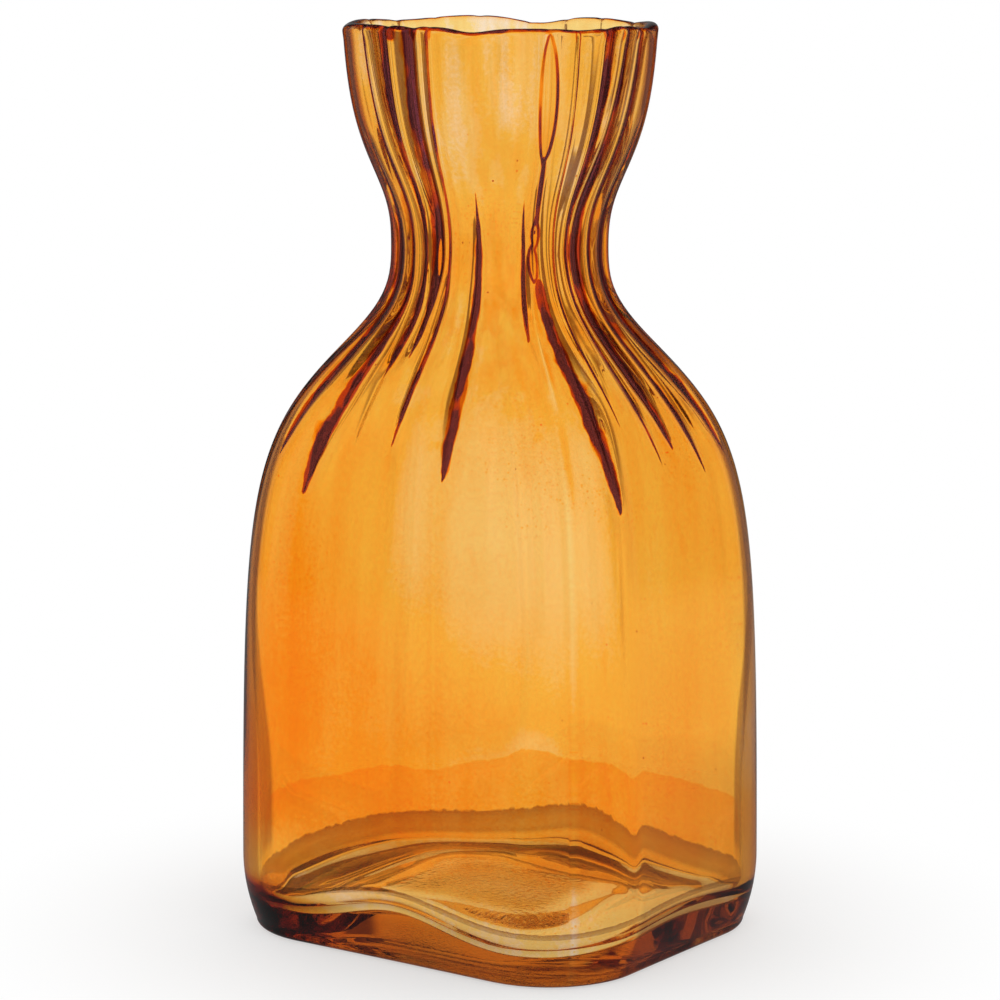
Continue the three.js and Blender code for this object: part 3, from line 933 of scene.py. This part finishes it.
def coat_colour(tree, look, strength):
    """Colour of the coat and of the painted shade by their strength. Each is squared, because light that
    crosses the surface takes the root of the shader's colour."""
    share = add_node(tree, "Math", {"operation": "DIVIDE"}, _0=strength, _1=COAT_RANGE)
    colour = add_node(tree, "ValToRGB", Fac=share)
    stops = colour.color_ramp.elements
    one = np.array(look.coat_colour[:3])
    for index, depth in enumerate(COAT_STOPS):
        stop = stops[index] if index < 2 else stops.new(0.5)
        stop.position = depth / COAT_RANGE
        stop.color = (*(one ** (2 * depth)), 1)
    for depth, code in DARK_SHADE_STOPS:
        stop = stops.new(depth / COAT_RANGE)
        stop.color = (*(np.array(hex_linear(code)[:3]) ** 2), 1)
    return colour


def painted_shade_and_mottle(tree, level, facing, layer, noise):
    """Share of the painted shade: a band with a ragged upper edge in the fillet, the foot, and lines
    where the upright walls turn away from the eye, wider low down, partly for the longer way through
    the glass there; and the brown mottle of the stipple, which is its own."""
    # Painted shade band in the fillet, with a ragged upper edge
    ragged_level = add_node(tree, "Math", TIMES_ADD, _0=noise["band_edge"], _1=EDGE_WOBBLE, _2=layer["fillet_shade_level"])
    under = add_node(tree, "MapRange", STEP, Value=ragged_level, **RANGES["under"])
    over = add_node(tree, "MapRange", STEP, Value=layer["fillet_shade_level"], **RANGES["over"])
    deeper = add_node(tree, "MapRange", Value=layer["fillet_shade_level"], **RANGES["deeper"])
    shade = add_node(tree, "Math", TIMES, _0=under, _1=over)
    shade = add_node(tree, "Math", TIMES, _0=shade, _1=deeper)
    mottle = add_node(tree, "MapRange", Value=noise["dots"], **RANGES["mottle"])
    shade = add_node(tree, "Math", TIMES_ADD, _0=layer["stipple"], _1=mottle, _2=shade)
    shade = add_node(tree, "Math", ADD, _0=shade, _1=layer["foot"])
    # Painted shade: dark lines where the upright walls turn away from the eye, wider low down, partly for
    # the longer way through the glass
    thicker = add_node(tree, "MapRange", STEP, Value=level, **RANGES["thicker"])
    turned = add_node(tree, "Math", ADD, _0=facing, _1=thicker)
    outline = add_node(tree, "MapRange", STEP, Value=turned, **RANGES["outline"])
    grazing = add_node(tree, "MapRange", STEP, Value=facing, **RANGES["grazing"])
    outline = add_node(tree, "Math", ADD, _0=outline, _1=grazing)
    return add_node(
        tree, "Math", {**TIMES_ADD, "use_clamp": True},
        _0=outline, _1=layer["upright"], _2=shade)


def amber_glass(look):
    """Amber soda-lime glass, blown in a mould and fire-polished. To the eye it is clear and glossy, its
    colour deepens with the length of the light's way through it and is uneven where the coat is
    thicker or thinner, with painted shade as dark streaks in the creases and as brown edges, and it
    is finely dimpled where the mould was stippled."""
    material, tree = new_material("amber_soda_lime_glass_moulded")
    place = add_node(tree, "TexCoord").outputs["Object"]
    level = add_node(tree, "SeparateXYZ", Vector=place).outputs["Z"]
    facing = add_node(tree, "LayerWeight", Blend=0.5).outputs["Facing"]
    layer, noise = {}, {}
    for name in LAYERS:
        layer[name] = add_node(tree, "Attribute", {"attribute_name": name}).outputs["Fac"]
    for name, (size, detail, scale) in NOISES.items():
        drawn = add_node(tree, "Mapping", Vector=place, Scale=(1, 1, scale))
        noise[name] = add_node(tree, "TexNoise", Vector=drawn, Scale=1 / (size * MM), Detail=detail)
    coat = amber_coat(tree, look, place, level, facing, layer, noise)
    # gathered: the painted shade along the creases and round the loops
    gathered = painted_crease_shade(tree, look, layer, noise)
    strength = add_node(tree, "Math", ADD, _0=coat, _1=gathered)
    tint = add_node(
        tree, "Mix", {**BLEND, "blend_type": "MULTIPLY"},
        _0=painted_shade_and_mottle(tree, level, facing, layer, noise),
        _6=coat_colour(tree, look, strength), _7=tuple(look.shade_colour))
    dimples = add_node(tree, "Math", TIMES, _0=noise["dots"], _1=layer["stipple"])
    bump = add_node(tree, "Bump", Strength=STIPPLE_BUMP, Distance=STIPPLE_DEPTH, Height=dimples)
    shader = add_node(
        tree, "BsdfPrincipled", Base_Color=tint.outputs[2], Roughness=0.0, IOR=GLASS_IOR,
        Transmission_Weight=1.0, Normal=bump)
    volume = add_node(tree, "VolumeAbsorption", Color=tuple(look.absorption), Density=look.density)
    add_node(tree, "OutputMaterial", Surface=shader, Volume=volume)
    return material


class VASE_OT_glass(bpy.types.Operator):
    """Make the vase as one closed surface of glass"""

    bl_idname = "vase.glass"
    bl_label = "Glass vase"

    def execute(self, context):
        scene = context.scene
        form = VaseForm(scene.vase_sizes)
        sizes = scene.vase_sizes
        points, layers = form.grid(scene.glass_look)
        poles = (0, 0, sizes.hollow_height), (0, 0, sizes.floor_middle)
        mesh = lathe_mesh("glass_vase", points, layers, *poles)
        vase = bpy.data.objects.new("glass_vase", mesh)
        scene.collection.objects.link(vase)
        mesh.materials.append(amber_glass(scene.glass_look))
        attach(vase, "root")
        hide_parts("base", "body", "shoulder", "neck", "rim")
        return {"FINISHED"}


def panel_gaps(tree, vector):
    """Share of darkness in the gaps between eight soft panels that stand round the vase: a cosine of
    the turn, cut to its troughs."""
    parts = add_node(tree, "SeparateXYZ", Vector=vector)
    turn = add_node(tree, "Math", {"operation": "ARCTAN2"}, _0=parts.outputs["Y"], _1=parts.outputs["X"])
    phase = add_node(tree, "Math", TIMES_ADD, _0=turn, _1=PANELS, _2=PANELS * PANEL_TURN)
    wave = add_node(tree, "Math", {"operation": "COSINE"}, _0=phase)
    return add_node(tree, "MapRange", STEP, Value=wave, **RANGES["panel_gap"])


def mirrored(tree, path):
    """1 for a ray that a glossy surface mirrors, 0 for one that passes through glass."""
    return add_node(
        tree, "Math", {"operation": "SUBTRACT", "use_clamp": True},
        _0=path.outputs["Is Glossy Ray"], _1=path.outputs["Is Transmission Ray"])


def paper_sweep():
    """Pale paper, matt: plain near the vase, where it keeps the shadow, and white further out, with
    the gaps between the panels in what the glass shows of it."""
    material, tree = new_material("pale_paper_sweep")
    place = add_node(tree, "TexCoord").outputs["Object"]
    distance = add_node(tree, "VectorMath", {"operation": "LENGTH"}, _0=place).outputs["Value"]
    path = add_node(tree, "LightPath")
    shown = mirrored(tree, path)
    for ray, name in (("Is Camera Ray", "floor_seen"), ("Is Transmission Ray", "floor_through")):
        ring = add_node(tree, "MapRange", STEP, Value=distance, **RANGES[name])
        shown = add_node(
            tree, "Math", {**TIMES_ADD, "use_clamp": True},
            _0=path.outputs[ray], _1=ring, _2=shown)
    unseen = add_node(tree, "Math", {"operation": "SUBTRACT"}, _0=1.0, _1=path.outputs["Is Camera Ray"])
    gap = panel_gaps(tree, place)
    far = add_node(tree, "MapRange", STEP, Value=distance, **RANGES["floor_far"])
    for factor in (far, unseen):
        gap = add_node(tree, "Math", TIMES, _0=gap, _1=factor)
    glow = add_node(tree, "Mix", BLEND, _0=gap, _6=hex_linear(WHITE), _7=hex_linear(GAP_COLOUR))
    dim = add_node(tree, "MapRange", Value=mirrored(tree, path), To_Min=1.0, To_Max=GLOSS_LIGHT)
    white = add_node(tree, "Emission", Color=glow.outputs[2], Strength=dim)
    paper = add_node(tree, "BsdfDiffuse", Color=hex_linear(PAPER_COLOUR))
    both = add_node(tree, "MixShader", _0=shown, _1=paper, _2=white)
    add_node(tree, "OutputMaterial", Surface=both)
    return material


def stage_floor():
    """Floor: a level square just under the foot."""
    corners = FLOOR_HALF * np.array([(-1, -1, 0), (1, -1, 0), (1, 1, 0), (-1, 1, 0)])
    mesh = bpy.data.meshes.new("floor")
    mesh.from_pydata(corners.tolist(), [], [(0, 1, 2, 3)])
    mesh.materials.append(paper_sweep())
    floor = bpy.data.objects.new("floor", mesh)
    floor.location.z = FLOOR_LEVEL
    bpy.context.scene.collection.objects.link(floor)


def stage_world():
    """White surround near the horizon, darker overhead and between the panels in what the glass shows."""
    world = bpy.data.worlds.new("light_tent")
    world.use_nodes = True
    tree = world.node_tree
    tree.nodes.clear()
    way = add_node(tree, "TexCoord").outputs["Generated"]
    rise = add_node(tree, "SeparateXYZ", Vector=way).outputs["Z"]
    above = add_node(tree, "MapRange", STEP, Value=rise, **RANGES["overhead"])
    band = add_node(tree, "Mix", BLEND, _0=above, _6=hex_linear(WHITE), _7=hex_linear(OVERHEAD_COLOUR))
    panels = add_node(
        tree, "Mix", {**BLEND, "blend_type": "MULTIPLY"},
        _0=panel_gaps(tree, way), _6=band.outputs[2], _7=hex_linear(GAP_COLOUR))
    path = add_node(tree, "LightPath")
    plain = add_node(
        tree, "Math", {"operation": "MAXIMUM"},
        _0=path.outputs["Is Diffuse Ray"], _1=path.outputs["Is Camera Ray"])
    colour = add_node(tree, "Mix", BLEND, _0=plain, _6=panels.outputs[2], _7=hex_linear(WHITE))
    dim = add_node(tree, "MapRange", Value=mirrored(tree, path), To_Min=1.0, To_Max=GLOSS_LIGHT)
    light = add_node(tree, "Background", Color=colour.outputs[2], Strength=dim)
    add_node(tree, "OutputWorld", Surface=light)
    bpy.context.scene.world = world


def stage_camera(studio):
    """Camera at the photograph's viewing angle."""
    data = bpy.data.cameras.new("camera")
    data.lens = studio.lens
    data.sensor_width = SENSOR_WIDTH
    camera = bpy.data.objects.new("camera", data)
    turn = studio.camera_turn
    camera.location = (
        studio.camera_distance * math.sin(turn),
        -studio.camera_distance * math.cos(turn),
        studio.camera_height,
    )
    camera.rotation_euler = (math.pi / 2 - studio.camera_pitch, 0, turn)
    bpy.context.scene.collection.objects.link(camera)
    bpy.context.scene.camera = camera


class VASE_OT_stage(bpy.types.Operator):
    """Make the floor, the light and the camera"""

    bl_idname = "vase.stage"
    bl_label = "Studio stage"

    def execute(self, context):
        scene = context.scene
        scene.view_settings.view_transform = "Standard"
        for kind in ("max_bounces", "glossy_bounces", "transmission_bounces"):
            setattr(scene.cycles, kind, LIGHT_BOUNCES)
        stage_floor()
        stage_world()
        stage_camera(scene.studio_sizes)
        return {"FINISHED"}


class VASE_PT_panel(bpy.types.Panel):
    """Sizes and colours of the vase"""

    bl_idname = "VASE_PT_panel"
    bl_label = "Amber sack vase"
    bl_space_type = "VIEW_3D"
    bl_region_type = "UI"
    bl_category = "Vase"

    def draw(self, context):
        layout = self.layout
        for name in GROUPS:
            group = getattr(context.scene, name)
            box = layout.box()
            for key in group.bl_rna.properties.keys():
                if key not in ("rna_type", "name"):
                    box.prop(group, key)
        layout.operator(VASE_OT_glass.bl_idname)
        layout.operator(VASE_OT_stage.bl_idname)


CLASSES = (VaseSizes, GlassLook, StudioSizes, VASE_OT_glass, VASE_OT_stage, VASE_PT_panel)
GROUPS = {"vase_sizes": VaseSizes, "glass_look": GlassLook, "studio_sizes": StudioSizes}


def register():
    """Adds the classes, and the groups of properties to the scene."""
    for kind in CLASSES:
        bpy.utils.register_class(kind)
    for name, kind in GROUPS.items():
        setattr(bpy.types.Scene, name, PointerProperty(type=kind))


def unregister():
    """Takes out what register added."""
    for name in GROUPS:
        delattr(bpy.types.Scene, name)
    for kind in reversed(CLASSES):
        bpy.utils.unregister_class(kind)


def main():
    """Makes the vase and its stage."""
    register()
    bpy.ops.vase.glass()
    bpy.ops.vase.stage()


if __name__ == "__main__":
    main()
